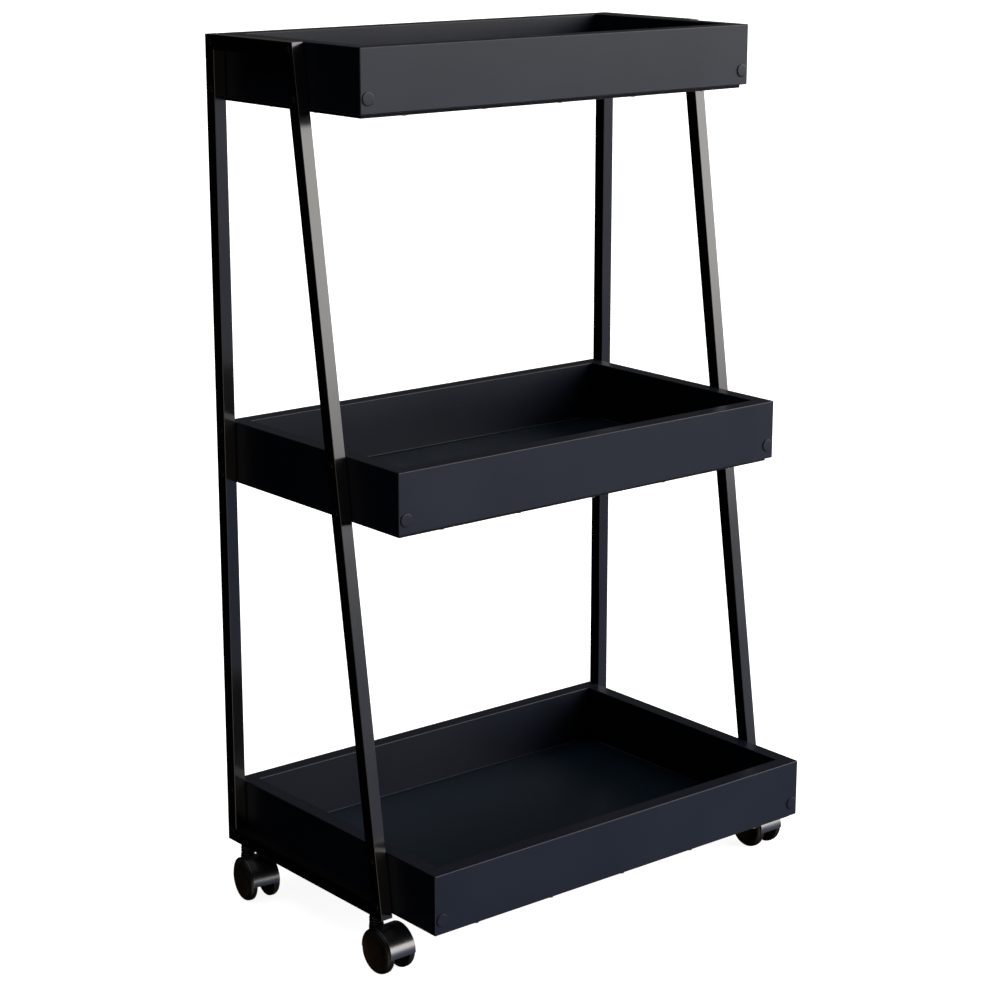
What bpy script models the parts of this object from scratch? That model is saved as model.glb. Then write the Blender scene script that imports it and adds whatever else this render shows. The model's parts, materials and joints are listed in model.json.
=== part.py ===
"""Three-tier tray trolley on four twin-wheel swivel casters.

Two side frames of mitred rectangular tube carry three open trays that get deeper towards the
floor.  Metres, +Z up, the front faces -Y, and the origin is on the floor at the middle of the
object's footprint.
"""
import math

import bmesh
import bpy
from mathutils import Matrix, Vector

# ---------------------------------------------------------------- driving dimensions
TRAY_WIDTH = 0.440
TRAY_DEPTHS = {"top": 0.211, "middle": 0.257, "bottom": 0.3025}
TOP_RIM_Z = 0.795
TIER_PITCH = 0.345
WALL_HEIGHT = 0.0548
BOARD = 0.015
BOARD_EDGE = 0.0008

FLOOR_THICKNESS = 0.003
FLOOR_SIDE_INSET = 0.004
FLOOR_END_INSET = 0.0055

TUBE_WIDTH = 0.012
TUBE_DEPTH = 0.0132
TUBE_WALL = 0.0012
TUBE_EDGE = 0.0007
FRAME_BOTTOM_Z = 0.0466
LEG_TOP_REACH = 0.1321
LEG_FOOT_REACH = 0.2423

SCREW_CAP_DIAMETER = 0.0116
SCREW_CAP_THICKNESS = 0.0007
SCREW_CAP_CHAMFER = 0.0003
SCREW_SHANK_DIAMETER = 0.005
SCREW_LENGTH = 0.050
SCREW_CLEARANCE = 0.00045
SCREW_SIDE_INSET = 0.0075
SCREW_HEIGHT = 0.0130

WHEEL_DIAMETER = 0.040
WHEEL_INNER_X = 0.0084
WHEEL_SHOULDER = 0.0040
WHEEL_INNER_CHAMFER = 0.0014
WHEEL_DISH = 0.0007
WHEEL_DISH_RADIUS = 0.0150
WHEEL_RIM_RADIUS = 0.0158
WHEEL_COVER = 0.0035
CASTER_WIDTH = 0.0315
CASTER_TRAIL = 0.0170
HOOD_RADIUS = 0.0212
HOOD_WIDTH = 0.0274
HOOD_WEB = 0.0120
HOOD_LOBE_RADIUS = 0.0080
HOOD_BOSS_RADIUS = 0.0067
HOOD_BOSS_FOOT_Z = 0.0170
HOOD_END_ANGLE = -2.0
HOOD_STEPS = 18
AXLE_DIAMETER = 0.0040
STEM_DIAMETER = 0.0060
STEM_TIP = 0.0008
STEM_IN_RAIL = 0.0088
STEM_FOOT_Z = 0.0180
COLLAR_DIAMETER = 0.0130
COLLAR_FOOT_Z = 0.0367
COLLAR_RINGS = 3
COLLAR_GROOVE_DEPTH = 0.0012
COLLAR_GROOVE_HEIGHT = 0.0008
INSERT_SLEEVE_DIAMETER = 0.0082
INSERT_SLEEVE_HEIGHT = 0.0095
INSERT_FLANGE_DIAMETER = 0.0120
INSERT_FLANGE_THICKNESS = 0.0009
FRONT_STEM_REACH = 0.2262
REAR_STEM_REACH = 0.0234
SWIVEL_AT_REST = {("rear", "left"): -7.0, ("rear", "right"): 7.0, ("front", "left"): 1.5}

GAP = 0.0003
MITRE_GAP = 0.00045

# ---------------------------------------------------------------- derived places
BACK_Y = TRAY_DEPTHS["bottom"] / 2
HALF_WIDTH = TRAY_WIDTH / 2
TIERS = ("top", "middle", "bottom")
RIM_Z = {tier: TOP_RIM_Z - TIER_PITCH * index for index, tier in enumerate(TIERS)}
SIDES = {"left": -1, "right": 1}
FRAME_X = HALF_WIDTH + GAP + TUBE_WIDTH / 2
AXLE_Z = WHEEL_DIAMETER / 2
BORE_RADIUS = AXLE_DIAMETER / 2 + GAP
COLLAR_TOP_Z = FRAME_BOTTOM_Z - INSERT_FLANGE_THICKNESS - 2 * GAP
STEM_Y = {"front": BACK_Y - FRONT_STEM_REACH, "rear": BACK_Y - REAR_STEM_REACH}

# ---------------------------------------------------------------- scene helpers
for old in list(bpy.data.objects):
    bpy.data.objects.remove(old, do_unlink=True)

PARTS = bpy.data.collections.new("tray_trolley")
CUTTERS = bpy.data.collections.new("cutters")
bpy.context.scene.collection.children.link(PARTS)
bpy.context.scene.collection.children.link(CUTTERS)


def principled(name, color, roughness, metallic=0.0):
    """A plain Principled material for the CAD view."""
    material = bpy.data.materials.new(name)
    material.use_nodes = True
    shader = material.node_tree.nodes["Principled BSDF"]
    shader.inputs["Base Color"].default_value = (*color, 1.0)
    shader.inputs["Roughness"].default_value = roughness
    shader.inputs["Metallic"].default_value = metallic
    return material


MATERIALS = {
    "board": principled("black_board", (0.012, 0.013, 0.017), 0.38),
    "tube": principled("black_steel", (0.010, 0.010, 0.012), 0.30, 0.6),
    "cap": principled("black_cap", (0.010, 0.010, 0.012), 0.40),
    "fitting": principled("blackened_steel", (0.060, 0.058, 0.055), 0.32, 1.0),
    "zinc": principled("bright_zinc", (0.45, 0.45, 0.46), 0.35, 1.0),
    "hood": principled("gloss_nylon", (0.006, 0.006, 0.007), 0.16),
    "wheel": principled("black_wheel", (0.010, 0.009, 0.008), 0.45),
}


def add_object(name, mesh, material, collection=PARTS, parent=None):
    """Link a mesh under its node name."""
    piece = bpy.data.objects.new(name, mesh)
    collection.objects.link(piece)
    if material:
        mesh.materials.append(MATERIALS[material])
    piece.parent = parent
    return piece


def mesh_from(bm, name, smooth_angle=None):
    """Close a bmesh with outward faces and turn it into a mesh."""
    bmesh.ops.recalc_face_normals(bm, faces=bm.faces)
    mesh = bpy.data.meshes.new(name)
    bm.to_mesh(mesh)
    bm.free()
    if smooth_angle is not None:
        mesh.shade_smooth()
        mesh.set_sharp_from_angle(angle=math.radians(smooth_angle))
    return mesh


def box_mesh(name, low, high, edge=0.0):
    """A box between two corners with its edges lightly rounded."""
    bm = bmesh.new()
    bmesh.ops.create_cube(bm, size=1.0)
    size = Vector(high) - Vector(low)
    middle = (Vector(high) + Vector(low)) / 2
    bmesh.ops.scale(bm, vec=size, verts=bm.verts)
    bmesh.ops.translate(bm, vec=middle, verts=bm.verts)
    if edge:
        bmesh.ops.bevel(bm, geom=list(bm.edges), offset=edge, segments=1, affect="EDGES")
    return mesh_from(bm, name)


def cylinder_mesh(name, radius, start, end, segments=24):
    """A closed cylinder between two points."""
    axis = Vector(end) - Vector(start)
    turn = Vector((0, 0, 1)).rotation_difference(axis).to_matrix().to_4x4()
    place = Matrix.Translation((Vector(start) + Vector(end)) / 2) @ turn
    bm = bmesh.new()
    bmesh.ops.create_cone(
        bm, cap_ends=True, segments=segments, radius1=radius, radius2=radius, depth=axis.length,
        matrix=place,
    )
    return mesh_from(bm, name, 30)


def prism_mesh(name, outline, x_low, x_high, rounded_along=None, edge=0.0):
    """Extrude an outline of (y, z) points along X; edges along one direction may be rounded."""
    bm = bmesh.new()
    start = bm.faces.new([bm.verts.new((x_low, y, z)) for y, z in outline])
    grown = bmesh.ops.extrude_face_region(bm, geom=[start])["geom"]
    far = [item for item in grown if isinstance(item, bmesh.types.BMVert)]
    bmesh.ops.translate(bm, vec=(x_high - x_low, 0, 0), verts=far)
    if rounded_along:
        axis = Vector((0, *rounded_along)).normalized()
        lines = [line for line in bm.edges
                 if abs((line.verts[1].co - line.verts[0].co).normalized().dot(axis)) > 0.999]
        bmesh.ops.bevel(bm, geom=lines, offset=edge, segments=2, profile=0.5, affect="EDGES")
    return mesh_from(bm, name)


def turned(name, profile, material, steps, parent=None, axis="Z"):
    """Turn a profile of (radius, height) points, listed from the top down, about its axis."""
    mesh = bpy.data.meshes.new(name)
    points = [(radius, 0.0, height) for radius, height in profile]
    mesh.from_pydata(points, [(i, i + 1) for i in range(len(points) - 1)], [])
    piece = add_object(name, mesh, material, parent=parent)
    screw = piece.modifiers.new("turn", "SCREW")
    screw.axis = "Z"
    screw.steps = steps
    screw.render_steps = steps
    screw.use_merge_vertices = True
    screw.merge_threshold = 0.00001
    screw.use_smooth_shade = True
    if axis == "X":
        piece.rotation_euler = (0, math.radians(90), 0)
    if axis == "Y":
        piece.rotation_euler = (math.radians(90), 0, 0)
    return piece


def boolean(piece, cutter_mesh, operation="DIFFERENCE", parent=None):
    """Cut or join a piece with a helper solid kept in the cutters collection."""
    helper = add_object(cutter_mesh.name, cutter_mesh, None, collection=CUTTERS, parent=parent)
    helper.hide_render = True
    helper.display_type = "WIRE"
    step = piece.modifiers.new(cutter_mesh.name, "BOOLEAN")
    step.operation = operation
    step.solver = "EXACT"
    step.object = helper


# ---------------------------------------------------------------- side frames
def corner_at(outline, index, inset):
    """A corner of the frame's outline moved inwards, where the two inset sides meet."""
    here = Vector(outline[index])
    before = (here - Vector(outline[index - 1])).normalized()
    after = (Vector(outline[(index + 1) % len(outline)]) - here).normalized()
    inward_before = Vector((-before.y, before.x))
    inward_after = Vector((-after.y, after.x))
    middle = (inward_before + inward_after).normalized()
    return here + middle * (inset / middle.dot(inward_before))


def frame_outline():
    """Outer corners of a side frame as (y, z), going round with the inside on the left."""
    return (
        (BACK_Y, FRAME_BOTTOM_Z),
        (BACK_Y, TOP_RIM_Z),
        (BACK_Y - LEG_TOP_REACH, TOP_RIM_Z),
        (BACK_Y - LEG_FOOT_REACH, FRAME_BOTTOM_Z),
    )


def add_tube(name, outline, index, middle_x):
    """One hollow tube of the frame, mitred at both ends and open along its bore."""
    following = (index + 1) % len(outline)
    along = (Vector(outline[following]) - Vector(outline[index])).normalized()

    def strip(outer_inset, inner_inset, trim):
        return [
            corner_at(outline, index, outer_inset) + along * trim,
            corner_at(outline, following, outer_inset) - along * trim,
            corner_at(outline, following, inner_inset) - along * trim,
            corner_at(outline, index, inner_inset) + along * trim,
        ]

    bar = strip(0.0, TUBE_DEPTH, MITRE_GAP / 2)
    half = TUBE_WIDTH / 2
    mesh = prism_mesh(name, bar, middle_x - half, middle_x + half, along, TUBE_EDGE)
    tube = add_object(name, mesh, "tube")
    bore = strip(TUBE_WALL, TUBE_DEPTH - TUBE_WALL, -2 * TUBE_DEPTH)
    half_bore = half - TUBE_WALL
    boolean(tube, prism_mesh(name + "_bore", bore, middle_x - half_bore, middle_x + half_bore))
    return tube


def build_side_frame(side):
    """Rear post, top rail, slanting front leg and bottom rail of one side."""
    middle_x = SIDES[side] * FRAME_X
    outline = frame_outline()
    names = ("rear_post", "top_rail", "front_leg", "bottom_rail")
    tubes = {}
    for index, name in enumerate(names):
        tubes[name] = add_tube(f"{side}_{name}", outline, index, middle_x)
    for end, stem_y in STEM_Y.items():
        hole = cylinder_mesh(
            f"{side}_{end}_insert_hole", INSERT_SLEEVE_DIAMETER / 2 + GAP,
            (middle_x, stem_y, FRAME_BOTTOM_Z - TUBE_WALL),
            (middle_x, stem_y, FRAME_BOTTOM_Z + 2 * TUBE_WALL), 16,
        )
        boolean(tubes["bottom_rail"], hole)


# ---------------------------------------------------------------- trays
def build_tray(tier):
    """Four walls on a thin floor panel; the front and back walls cover the side walls' ends."""
    rim = RIM_Z[tier]
    foot = rim - WALL_HEIGHT
    front_y = BACK_Y - TRAY_DEPTHS[tier]
    name = f"{tier}_tray"
    end_walls = {
        "front": (front_y, front_y + BOARD),
        "back": (BACK_Y - BOARD, BACK_Y),
    }
    walls = {}
    for end, (low_y, high_y) in end_walls.items():
        mesh = box_mesh(
            f"{name}_{end}_wall", (-HALF_WIDTH, low_y, foot), (HALF_WIDTH, high_y, rim), BOARD_EDGE,
        )
        walls[end] = add_object(mesh.name, mesh, "board")
    for side, sign in SIDES.items():
        outer = sign * HALF_WIDTH
        inner = sign * (HALF_WIDTH - BOARD)
        mesh = box_mesh(
            f"{name}_{side}_wall",
            (min(outer, inner), front_y + BOARD + GAP, foot),
            (max(outer, inner), BACK_Y - BOARD - GAP, rim), BOARD_EDGE,
        )
        walls[side] = add_object(mesh.name, mesh, "board")
    floor = box_mesh(
        f"{name}_floor",
        (-HALF_WIDTH + FLOOR_SIDE_INSET, front_y + FLOOR_END_INSET, foot - GAP - FLOOR_THICKNESS),
        (HALF_WIDTH - FLOOR_SIDE_INSET, BACK_Y - FLOOR_END_INSET, foot - GAP),
    )
    add_object(floor.name, floor, "board")
    for end, face_y, outward in (("front", front_y, -1), ("back", BACK_Y, 1)):
        for side, sign in SIDES.items():
            place = (sign * (HALF_WIDTH - SCREW_SIDE_INSET), face_y, foot + SCREW_HEIGHT)
            add_corner_screw(f"{name}_{end}_{side}_screw", place, outward, walls[end], walls[side])


def add_corner_screw(name, place, outward, end_wall, side_wall):
    """A corner screw under its round cover cap, through an end wall into a side wall's end."""
    cap = SCREW_CAP_DIAMETER / 2
    shank = SCREW_SHANK_DIAMETER / 2
    crown = GAP + SCREW_CAP_THICKNESS
    profile = [
        (0.0, crown),
        (cap - SCREW_CAP_CHAMFER, crown),
        (cap, crown - SCREW_CAP_CHAMFER),
        (cap, GAP),
        (shank, GAP),
        (shank, shank - SCREW_LENGTH),
        (0.0, -SCREW_LENGTH),
    ]
    screw = turned(name, profile, "cap", 16, axis="Y")
    screw.location = place
    if outward > 0:
        screw.rotation_euler.x = math.radians(-90)
    x, y, z = place
    drill_start = (x, y + outward * SCREW_CAP_THICKNESS, z)
    drill_end = (x, y - outward * (SCREW_LENGTH + 2 * GAP), z)
    radius = shank + SCREW_CLEARANCE
    for wall in (end_wall, side_wall):
        drill = cylinder_mesh(f"{wall.name}_{name}_hole", radius, drill_start, drill_end, 12)
        boolean(wall, drill)


# ---------------------------------------------------------------- casters
def insert_profile():
    """Threaded insert: a flange under the rail and a sleeve inside it, with a clear bore."""
    top = FRAME_BOTTOM_Z + INSERT_SLEEVE_HEIGHT
    seat = FRAME_BOTTOM_Z - GAP
    foot = seat - INSERT_FLANGE_THICKNESS
    sleeve = INSERT_SLEEVE_DIAMETER / 2
    flange = INSERT_FLANGE_DIAMETER / 2
    bore = STEM_DIAMETER / 2 + GAP
    return [
        (sleeve, top),
        (sleeve, seat),
        (flange, seat),
        (flange, foot),
        (bore, foot),
        (bore, top),
        (sleeve, top),
    ]


def stem_profile():
    """Threaded stem, ringed collar and the pin that the hood turns on."""
    pin = STEM_DIAMETER / 2
    ring = COLLAR_DIAMETER / 2
    groove = ring - COLLAR_GROOVE_DEPTH
    grooves_height = (COLLAR_RINGS - 1) * COLLAR_GROOVE_HEIGHT
    ring_height = (COLLAR_TOP_Z - COLLAR_FOOT_Z - grooves_height) / COLLAR_RINGS
    top = FRAME_BOTTOM_Z + STEM_IN_RAIL
    profile = [(0.0, top), (pin, top - STEM_TIP), (pin, COLLAR_TOP_Z)]
    height = COLLAR_TOP_Z
    for count in range(COLLAR_RINGS):
        profile += [(ring, height), (ring, height - ring_height)]
        height -= ring_height
        if count < COLLAR_RINGS - 1:
            profile += [(groove, height), (groove, height - COLLAR_GROOVE_HEIGHT)]
            height -= COLLAR_GROOVE_HEIGHT
    return profile + [(pin, COLLAR_FOOT_Z), (pin, STEM_FOOT_Z), (0.0, STEM_FOOT_Z)]


def wheel_profile():
    """One wheel: dished outer face, rounded rim, flat tread and a blind bore for the axle."""
    radius = WHEEL_DIAMETER / 2
    face = CASTER_WIDTH / 2
    dish = face - WHEEL_DISH
    profile = [(0.0, dish), (WHEEL_DISH_RADIUS, dish), (WHEEL_RIM_RADIUS, face)]
    for angle in (22, 45, 68, 90):
        turn = math.radians(angle)
        profile.append((
            radius - WHEEL_SHOULDER * (1 - math.sin(turn)),
            face - WHEEL_SHOULDER * (1 - math.cos(turn)),
        ))
    return profile + [
        (radius, WHEEL_INNER_X + WHEEL_INNER_CHAMFER),
        (radius - WHEEL_INNER_CHAMFER, WHEEL_INNER_X),
        (BORE_RADIUS, WHEEL_INNER_X),
        (BORE_RADIUS, face - WHEEL_COVER),
        (0.0, face - WHEEL_COVER),
    ]


def add_hood(name, pivot):
    """Hood of a twin-wheel caster: a fender over both wheels on a web that holds stem and axle."""
    axle_y = -CASTER_TRAIL
    half = HOOD_WIDTH / 2
    outline = []
    for step in range(HOOD_STEPS + 1):
        turn = math.radians(HOOD_END_ANGLE + (180 - 2 * HOOD_END_ANGLE) * step / HOOD_STEPS)
        outline.append(
            (axle_y - HOOD_RADIUS * math.cos(turn), AXLE_Z + HOOD_RADIUS * math.sin(turn)))
    hood = add_object(name, prism_mesh(name, outline, -half, half), "hood", parent=pivot)
    lobe = cylinder_mesh(
        name + "_axle_lobe", HOOD_LOBE_RADIUS, (-HOOD_WEB, axle_y, AXLE_Z),
        (HOOD_WEB, axle_y, AXLE_Z), 24,
    )
    boolean(hood, lobe, "UNION", pivot)
    boss = cylinder_mesh(
        name + "_boss", HOOD_BOSS_RADIUS, (0, 0, HOOD_BOSS_FOOT_Z),
        (0, 0, COLLAR_FOOT_Z + 3 * GAP), 24,
    )
    boolean(hood, boss, "UNION", pivot)
    for side, sign in SIDES.items():
        wheel_room = cylinder_mesh(
            f"{name}_{side}_wheel_room", WHEEL_DIAMETER / 2 + GAP,
            (sign * HOOD_WEB / 2, axle_y, AXLE_Z), (sign * 2 * half, axle_y, AXLE_Z), 36,
        )
        boolean(hood, wheel_room, parent=pivot)
    collar_room = cylinder_mesh(
        name + "_collar_room", COLLAR_DIAMETER / 2 + 2 * GAP,
        (0, 0, COLLAR_FOOT_Z - GAP), (0, 0, FRAME_BOTTOM_Z), 24,
    )
    boolean(hood, collar_room, parent=pivot)
    stem_bore = cylinder_mesh(
        name + "_stem_bore", STEM_DIAMETER / 2 + GAP, (0, 0, STEM_FOOT_Z - 2 * GAP),
        (0, 0, FRAME_BOTTOM_Z), 16,
    )
    boolean(hood, stem_bore, parent=pivot)
    axle_bore = cylinder_mesh(
        name + "_axle_bore", BORE_RADIUS, (-half, axle_y, AXLE_Z), (half, axle_y, AXLE_Z), 16,
    )
    boolean(hood, axle_bore, parent=pivot)


def build_caster(end, side):
    """One twin-wheel caster under a bottom rail; its empty stands on the swivel axis."""
    name = f"{end}_{side}_caster"
    pivot = bpy.data.objects.new(name + "_pivot", None)
    pivot.location = (SIDES[side] * FRAME_X, STEM_Y[end], 0)
    pivot.rotation_euler.z = math.radians(SWIVEL_AT_REST.get((end, side), 0.0))
    PARTS.objects.link(pivot)
    turned(name + "_insert", insert_profile(), "fitting", 16, pivot)
    turned(name + "_stem", stem_profile(), "fitting", 16, pivot)
    add_hood(name + "_hood", pivot)
    axle_half = CASTER_WIDTH / 2 - WHEEL_COVER - 2 * GAP
    axle = cylinder_mesh(
        name + "_axle", AXLE_DIAMETER / 2, (0, 0, -axle_half), (0, 0, axle_half), 12)
    axle_pin = add_object(axle.name, axle, "zinc", parent=pivot)
    axle_pin.location = (0, -CASTER_TRAIL, AXLE_Z)
    axle_pin.rotation_euler.y = math.radians(90)
    for wheel_side, sign in SIDES.items():
        wheel = turned(f"{name}_{wheel_side}_wheel", wheel_profile(), "wheel", 24, pivot, axis="X")
        wheel.location = (0, -CASTER_TRAIL, AXLE_Z)
        wheel.rotation_euler.y = math.radians(90 * sign)


# ---------------------------------------------------------------- assembly
for frame_side in SIDES:
    build_side_frame(frame_side)
for tray_tier in TIERS:
    build_tray(tray_tier)
for caster_end in STEM_Y:
    for caster_side in SIDES:
        build_caster(caster_end, caster_side)
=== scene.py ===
"""Looks of the three-tier tray trolley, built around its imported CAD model.

Metres, +Z up, the front faces -Y.  Every place is read from the CAD frame.  The named sizes below
are details that the frame doesn't hold, such as edge roundings and the casters' inner surfaces.
"""
import json
import math

import bmesh
import bpy
from mathutils import Matrix, Vector


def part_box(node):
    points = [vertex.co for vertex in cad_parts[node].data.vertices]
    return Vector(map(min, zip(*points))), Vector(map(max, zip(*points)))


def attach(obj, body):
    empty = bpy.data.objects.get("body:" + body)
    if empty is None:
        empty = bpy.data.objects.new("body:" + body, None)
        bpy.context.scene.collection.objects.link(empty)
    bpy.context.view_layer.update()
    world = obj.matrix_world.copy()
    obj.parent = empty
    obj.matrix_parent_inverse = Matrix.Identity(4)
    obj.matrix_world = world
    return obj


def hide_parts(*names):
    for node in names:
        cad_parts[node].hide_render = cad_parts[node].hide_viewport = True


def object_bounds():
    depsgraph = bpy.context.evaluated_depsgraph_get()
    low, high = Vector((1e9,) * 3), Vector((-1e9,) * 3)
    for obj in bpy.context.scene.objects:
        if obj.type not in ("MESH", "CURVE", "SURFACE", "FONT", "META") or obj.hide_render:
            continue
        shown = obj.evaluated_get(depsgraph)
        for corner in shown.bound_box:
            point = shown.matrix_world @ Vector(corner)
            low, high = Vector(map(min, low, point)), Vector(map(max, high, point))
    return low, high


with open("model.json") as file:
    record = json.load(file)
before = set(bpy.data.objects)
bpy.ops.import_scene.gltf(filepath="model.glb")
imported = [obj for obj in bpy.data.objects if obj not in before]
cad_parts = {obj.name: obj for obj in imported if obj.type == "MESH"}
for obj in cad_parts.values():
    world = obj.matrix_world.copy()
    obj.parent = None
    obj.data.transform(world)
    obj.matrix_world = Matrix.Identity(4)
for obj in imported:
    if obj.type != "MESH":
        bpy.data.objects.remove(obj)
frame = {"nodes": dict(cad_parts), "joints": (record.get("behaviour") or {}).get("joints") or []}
CAD_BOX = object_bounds()

# ---------------------------------------------------------------- detail sizes
SMALL_GAP = 0.0003
SMOOTH_ANGLE = 35

# Trays

BOARD_ROUNDING = 0.0010
BOARD_SEGMENTS = 4
FLOOR_ROUNDING = 0.0005
DRILL_RADIUS = 0.0029
COVE_RADIUS = 0.0012
COVE_STEPS = 4

# Frame tubes
TUBE_ROUNDING = 0.0007
TUBE_WALL = 0.0012
TUBE_CORNER_STEPS = 5
SEAM = 0.00004

# Corner screws under their cover caps
CAP_DOME = 0.00004
CAP_ROUNDING = 0.0003
CAP_THICKNESS = 0.0007
CAP_UNDERCUT = 0.0001
SHANK_RADIUS = 0.0025
THREAD_PITCH = 0.0020
THREAD_DEPTH = 0.0006

# Button screws: sizes of the heads, then shares of a head's radius or height
FRAME_SCREW_RADIUS = 0.0033
FRAME_SCREW_HEIGHT = 0.0013
FRAME_SCREW_FROM_EDGE = 0.0070
FLOOR_SCREW_RADIUS = 0.0030
FLOOR_SCREW_HEIGHT = 0.0006
FLOOR_SCREW_INSET = 0.0075
FLOOR_SCREWS_ACROSS = 5
FLOOR_SCREWS_DEEP = 2
HEAD_SOCKET = 0.45
HEAD_SOCKET_FLOOR = 0.25
HEAD_SOCKET_RIM = 0.93
HEAD_SOCKET_LAND = 1.15
HEAD_DOME_SPHERE = 1.5
HEAD_SKIRT = 0.0002
HEAD_POINTS = 24

# Wheels, along and away from the axle
WHEEL_FACE = 0.01575
WHEEL_INNER = 0.0084
WHEEL_SHOULDER = 0.0040
WHEEL_DISH = 0.0006
WHEEL_DISH_RADIUS = 0.0150
WHEEL_INNER_ROUNDING = 0.0014
WHEEL_OUTER_FLAT = 0.0006
WHEEL_INNER_FLAT = 0.0004
WHEEL_POCKET = 0.0026
WHEEL_POCKET_RIM = 0.0030
WHEEL_POCKET_HUB = 0.0054
WHEEL_POCKET_DRAFT = 0.0004
WHEEL_BORE_END = 0.0035
TREAD_SHARE = 0.6
AXLE_BORE_RADIUS = 0.0023

# Hoods
HOOD_RADIUS = 0.0212
HOOD_WIDTH = 0.0274
HOOD_WEB = 0.0120
HOOD_WALL = 0.0009
HOOD_ROUNDING = 0.0006
HOOD_FILLET = 0.0005
HOOD_LIP_RISE = 0.0002
HOOD_LIP_DEPTH = 0.0003
HOOD_HALF_SWEEP = 92.0
WHEEL_ROOM_EASE = 0.0001
WHEEL_ROOM_STEP = 0.0004
HOOD_BROKEN_EDGE = 0.00022
HUB_RADIUS = 0.0080
HUB_CORE = 0.6
BOSS_RADIUS = 0.0067
BOSS_FOOT_Z = 0.0170
BOSS_OVERLAP = 0.001
COLLAR_ROOM_RADIUS = 0.0071
CUTTER_TOP_Z = 0.06

# Stems and their inserts
STEM_RADIUS = 0.0030
STEM_SEAT_Z = 0.0175
STEM_TIP_INSET = 0.0006
STEM_TIP_HEIGHT = 0.0008
COLLAR_FOOT_Z = 0.0367
COLLAR_RINGS = 3
COLLAR_BULGE = 0.42
COLLAR_GROOVE = 1.9
INSERT_HOLE_RADIUS = 0.0044
INSERT_FLANGE = 0.0009
INSERT_FLANGE_CHAMFER = 0.0003
INSERT_SLEEVE_CHAMFER = 0.0004

TIERS = ("top", "middle", "bottom")
SIDES = {"left": -1, "right": 1}
ENDS = {"front": -1, "rear": 1}

# ---------------------------------------------------------------- viewpoint
# The camera stands left of the top tray's left wall, in front of its back wall and above its rim;
# it is turned to the right and tilted down.
CAMERA_LEFT = 1.1891
CAMERA_AHEAD = 1.8453
CAMERA_ABOVE = 0.1540
CAMERA_TURN = 39.25
CAMERA_TILT = 14.75
CAMERA_LENS = 88.9

# ---------------------------------------------------------------- studio light
# A height is the sine of an elevation.  A reach is a pair of cosines from a light's middle
# direction: where the light has faded out and where it is full.
BACKDROP_STRENGTH = 1.05
FLOOR_SIZE = 30.0
FLOOR_GLOW = 0.90
KEY_DIRECTION = (0.766, -0.643, 0.0)
KEY_REACH = (0.62, 0.86)
KEY_FOOT = (-0.048, 0.055)
KEY_TOP = (0.42, 0.62)
KEY_COLOR = (1.0, 0.965, 0.93)
KEY_STRENGTH = 7.4
HORIZON = (-0.05, 0.08)
HAZE_HEIGHTS = (-0.26, -0.04)
HAZE_COLOR = (1.0, 0.98, 0.98)
HAZE_STRENGTH = 0.58
BOUNCE_COLOR = (0.46, 0.56, 0.84)
BOUNCE_STRENGTH = 0.64
# Weak cards: middle direction, reach, colour and strength.
CARDS = {
    "front left": ((-0.55, -0.70, -0.42), (0.80, 0.97), (1.0, 0.87, 0.74), 1.8),
    "behind": ((0.63, 0.77, 0.15), (0.50, 0.90), (1.0, 0.95, 0.85), 0.06),
    "back right": ((0.75, 0.43, -0.50), (0.86, 0.99), (0.90, 0.95, 1.0), 0.6),
    "overhead": ((0.0, 0.0, 1.0), (0.70, 0.95), (1.0, 1.0, 1.0), 1.2),
}

# ---------------------------------------------------------------- finishes
# Noise ranges that become mottling and scratches.
MOTTLE_RANGE = (0.3, 0.7)
SCRATCH_RANGE = (0.66, 0.74)
SCRATCH_SCALE = 70.0
SCRATCH_STRETCH = (1.0, 0.06, 9.0)


# ---------------------------------------------------------------- materials
def add_node(tree, kind, **values):
    """Add a shader node and set its properties."""
    node = tree.nodes.new(kind)
    for key, value in values.items():
        setattr(node, key, value)
    return node


def noise(tree, vector, scale, detail=4.0, stretch=(1, 1, 1)):
    """A noise value whose pattern is drawn out along the axes with a small stretch factor."""
    mapping = add_node(tree, "ShaderNodeMapping")
    mapping.inputs["Scale"].default_value = stretch
    tree.links.new(vector, mapping.inputs["Vector"])
    texture = add_node(tree, "ShaderNodeTexNoise")
    texture.inputs["Scale"].default_value = scale
    texture.inputs["Detail"].default_value = detail
    tree.links.new(mapping.outputs["Vector"], texture.inputs["Vector"])
    return texture.outputs["Fac"]


def remap(tree, value, from_low, from_high, to_low, to_high):
    """Map a value from one range to another, held at the ends."""
    node = add_node(tree, "ShaderNodeMapRange", clamp=True)
    tree.links.new(value, node.inputs["Value"])
    node.inputs["From Min"].default_value = from_low
    node.inputs["From Max"].default_value = from_high
    node.inputs["To Min"].default_value = to_low
    node.inputs["To Max"].default_value = to_high
    return node.outputs["Result"]


def mix_colors(tree, factor, first, second):
    """Mix two colours or colour sockets by a factor socket."""
    node = add_node(tree, "ShaderNodeMix", data_type="RGBA")
    tree.links.new(factor, node.inputs["Factor"])
    for name, color in (("A", first), ("B", second)):
        socket = next(i for i in node.inputs if i.name == name and i.type == "RGBA")
        if isinstance(color, bpy.types.NodeSocket):
            tree.links.new(color, socket)
        else:
            socket.default_value = (*color, 1.0)
    return next(o for o in node.outputs if o.type == "RGBA")


def add_bump(tree, shader, height, strength, distance):
    """Bump the shader's normal with a height value."""
    bump = add_node(tree, "ShaderNodeBump")
    bump.inputs["Strength"].default_value = strength
    bump.inputs["Distance"].default_value = distance
    tree.links.new(height, bump.inputs["Height"])
    tree.links.new(bump.outputs["Normal"], shader.inputs["Normal"])


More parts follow.
